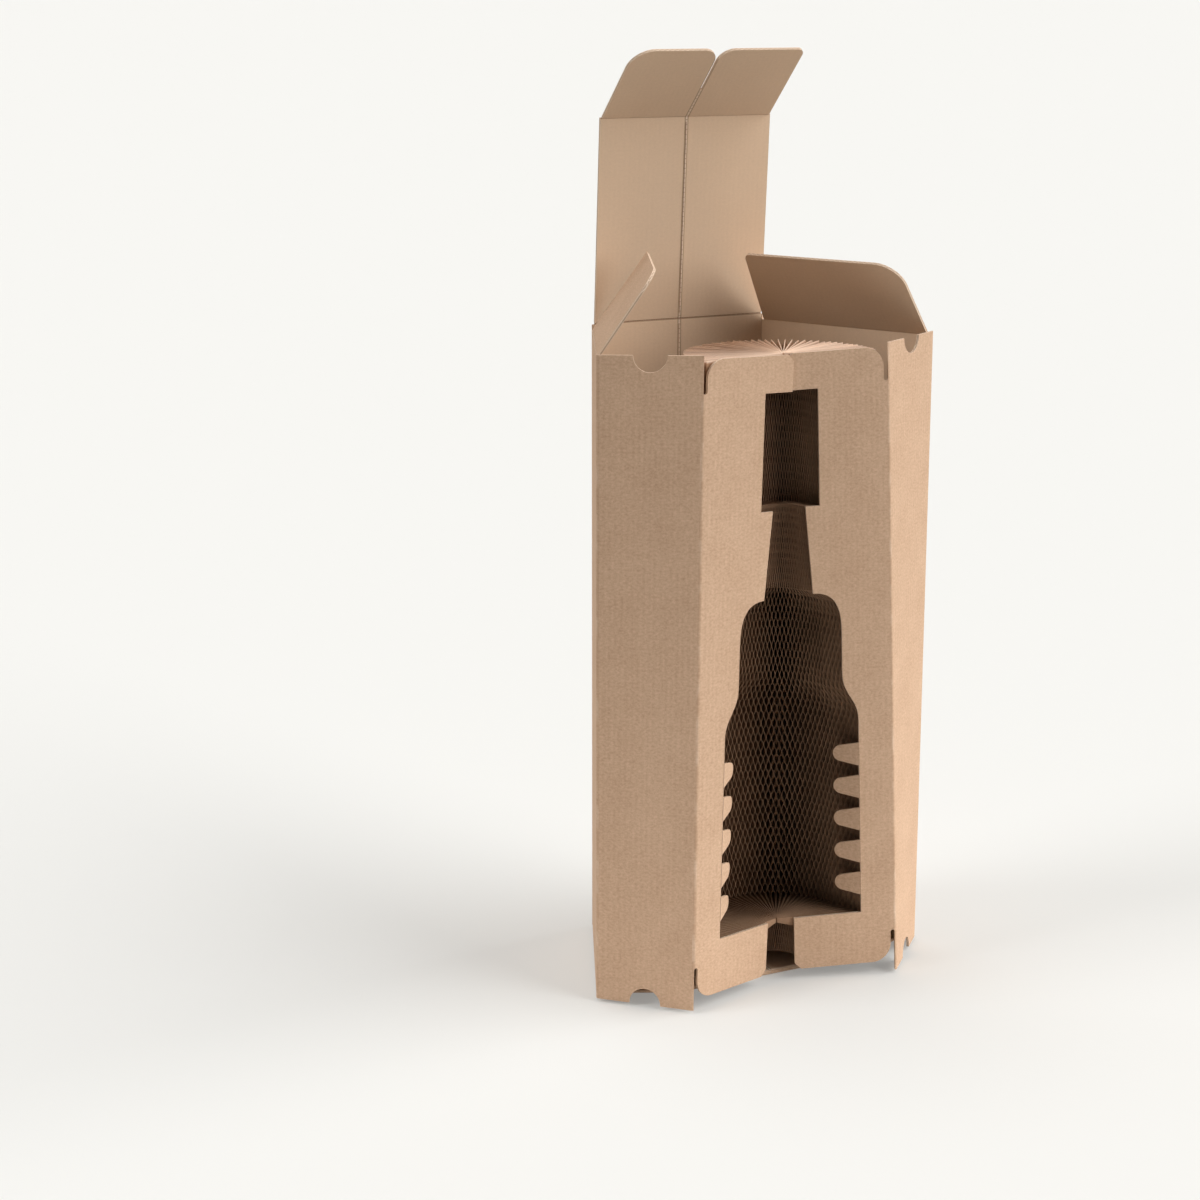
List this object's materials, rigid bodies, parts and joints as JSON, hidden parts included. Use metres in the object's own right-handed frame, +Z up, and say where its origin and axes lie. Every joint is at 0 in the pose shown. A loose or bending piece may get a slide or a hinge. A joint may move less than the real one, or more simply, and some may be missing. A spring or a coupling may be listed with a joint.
{
  "type": "bottle shipping box",
  "caption": "Tall split-front corrugated carton, shown open, with bottle-shaped cut-outs, a paper honeycomb fan behind them, side flaps and a lid with a tuck.",
  "frame": {"origin": "middle of the foot flap's underside, below the middle of the box's depth as it is closed", "axes": "+X to the right along the back wall, -Y to the split front, +Z up"},
  "size_m": [0.2322, 0.1595, 0.5682],
  "materials": {
    "board": "uncoated kraft corrugated board",
    "honeycomb": "uncoated kraft honeycomb paper"
  },
  "bodies": {
    "carton": {"folded_carton": "board", "honeycomb_foot": "honeycomb", "honeycomb_body": "honeycomb", "honeycomb_shoulder": "honeycomb", "honeycomb_neck": "honeycomb", "honeycomb_cork": "honeycomb", "honeycomb_top": "honeycomb"},
    "lid": {"lid_flap": "board"},
    "tuck": {"tuck_flap": "board"},
    "left_dust": {"left_dust_flap": "board"},
    "right_dust": {"right_dust_flap": "board"}
  },
  "joints": [
    {"name": "lid_hinge", "type": "hinge", "parent": "carton", "child": "lid", "pos_m": [0, 0.0635, 0.3992], "axis": [1, 0, 0], "range_deg": [-98, 5.5]},
    {"name": "tuck_hinge", "type": "hinge", "parent": "lid", "child": "tuck", "pos_m": [0, 0.05597, 0.52598], "axis": [1, 0, 0], "range_deg": [-138, 56]},
    {"name": "left_dust_hinge", "type": "hinge", "parent": "carton", "child": "left_dust", "pos_m": [-0.061, 0.0635, 0.3956], "axis": [0.4305, 0.9026, 0], "range_deg": [-132, 55.5]},
    {"name": "right_dust_hinge", "type": "hinge", "parent": "carton", "child": "right_dust", "pos_m": [0.11568, -0.05113, 0.3956], "axis": [0.4305, -0.9026, 0], "range_deg": [-138, 49.5]}
  ]
}
